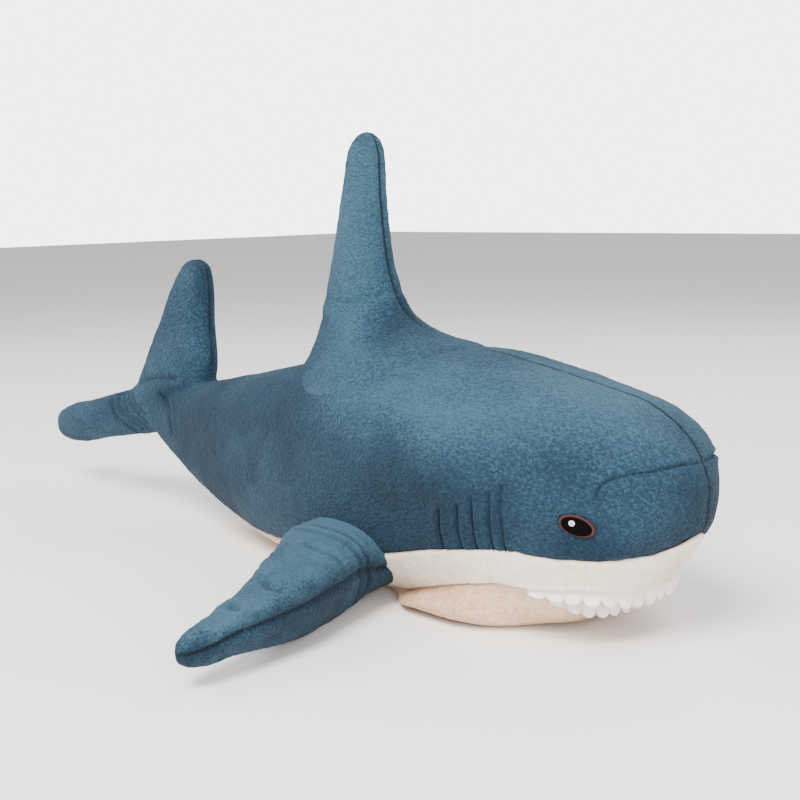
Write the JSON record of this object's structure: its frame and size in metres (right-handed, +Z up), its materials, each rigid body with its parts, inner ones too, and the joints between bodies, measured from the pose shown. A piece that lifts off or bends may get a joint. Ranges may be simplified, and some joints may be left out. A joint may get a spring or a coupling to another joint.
{
  "type": "plush shark",
  "caption": "Large stuffed toy shark lying on its belly: blue back, white belly and muzzle, felt teeth, embroidered eyes, upright back fin, splayed side fins and a raised forked tail.",
  "frame": {"origin": "bottom centre of the bounding box: on the floor, under the middle of its length", "axes": "+X from the tail towards the nose, +Y to the shark's left, +Z up from the surface it lies on"},
  "size_m": [1.3801, 0.966, 0.6055],
  "materials": {
    "blue_plush": "short soft pile, cut plush",
    "white_plush": "short soft pile, cut plush",
    "pink_lining": "smooth knitted lining",
    "white_felt": "felt",
    "filling": "loose polyester fibre",
    "black_thread": "satin-stitched embroidery",
    "brown_thread": "satin-stitched embroidery",
    "white_thread": "satin-stitched embroidery",
    "navy_thread": "thread",
    "label_tape": "woven tape"
  },
  "bodies": {
    "root": {"back_panel_left": "blue_plush", "back_panel_right": "blue_plush", "belly_panel": "white_plush", "care_label": "label_tape", "closing_stitch": "navy_thread", "eye_highlight_left": "white_thread", "eye_highlight_right": "white_thread", "eye_pupil_left": "black_thread", "eye_pupil_right": "black_thread", "eye_ring_left": "brown_thread", "eye_ring_right": "brown_thread", "gill_stitch_left_1": "navy_thread", "gill_stitch_left_2": "navy_thread", "gill_stitch_left_3": "navy_thread", "gill_stitch_left_4": "navy_thread", "gill_stitch_left_5": "navy_thread", "gill_stitch_right_1": "navy_thread", "gill_stitch_right_2": "navy_thread", "gill_stitch_right_3": "navy_thread", "gill_stitch_right_4": "navy_thread", "gill_stitch_right_5": "navy_thread", "muzzle_panel": "white_plush", "palate_lining": "pink_lining", "trunk_filling": "filling", "upper_teeth": "white_felt"},
    "rear_body": {"rear_panel_left": "blue_plush", "rear_panel_right": "blue_plush", "rear_belly_panel": "white_plush", "rear_filling": "filling"},
    "tail_fin": {"tail_fin_panel_left": "blue_plush", "tail_fin_panel_right": "blue_plush", "tail_fin_filling": "filling"},
    "dorsal_fin": {"dorsal_panel_left": "blue_plush", "dorsal_panel_right": "blue_plush", "dorsal_filling": "filling"},
    "pectoral_fin_left": {"pectoral_top_left": "blue_plush", "pectoral_under_left": "blue_plush", "pectoral_filling_left": "filling"},
    "pectoral_fin_right": {"pectoral_top_right": "blue_plush", "pectoral_under_right": "blue_plush", "pectoral_filling_right": "filling"},
    "jaw": {"jaw_skin": "white_plush", "jaw_filling": "filling", "jaw_lining": "pink_lining", "lower_teeth": "white_felt"}
  },
  "joints": [
    {"name": "trunk_bend", "type": "hinge", "parent": "root", "child": "rear_body", "pos_m": [-0.055, 0, 0.14], "axis": [0, 0, 1], "range_deg": [-25, 25], "stiffness_Nm_per_rad": 4},
    {"name": "tail_fin_swing", "type": "hinge", "parent": "rear_body", "child": "tail_fin", "pos_m": [-0.355, 0, 0.2], "axis": [0, 0, 1], "range_deg": [-30, 30], "stiffness_Nm_per_rad": 1.2},
    {"name": "dorsal_lean", "type": "hinge", "parent": "root", "child": "dorsal_fin", "pos_m": [0.1585, 0, 0.353], "axis": [0.986, 0, 0.1666], "range_deg": [-30, 30], "stiffness_Nm_per_rad": 1.5},
    {"name": "pectoral_left_lift", "type": "hinge", "parent": "root", "child": "pectoral_fin_left", "pos_m": [0.256, 0.188, 0.056], "axis": [1, 0, 0], "range_deg": [-20, 50], "stiffness_Nm_per_rad": 1.2},
    {"name": "pectoral_right_lift", "type": "hinge", "parent": "root", "child": "pectoral_fin_right", "pos_m": [0.256, -0.188, 0.056], "axis": [-1, 0, 0], "range_deg": [-20, 50], "stiffness_Nm_per_rad": 1.2},
    {"name": "jaw_open", "type": "hinge", "parent": "root", "child": "jaw", "pos_m": [0.52, 0, 0.075], "axis": [0, 1, 0], "range_deg": [-5, 17], "stiffness_Nm_per_rad": 1}
  ]
}
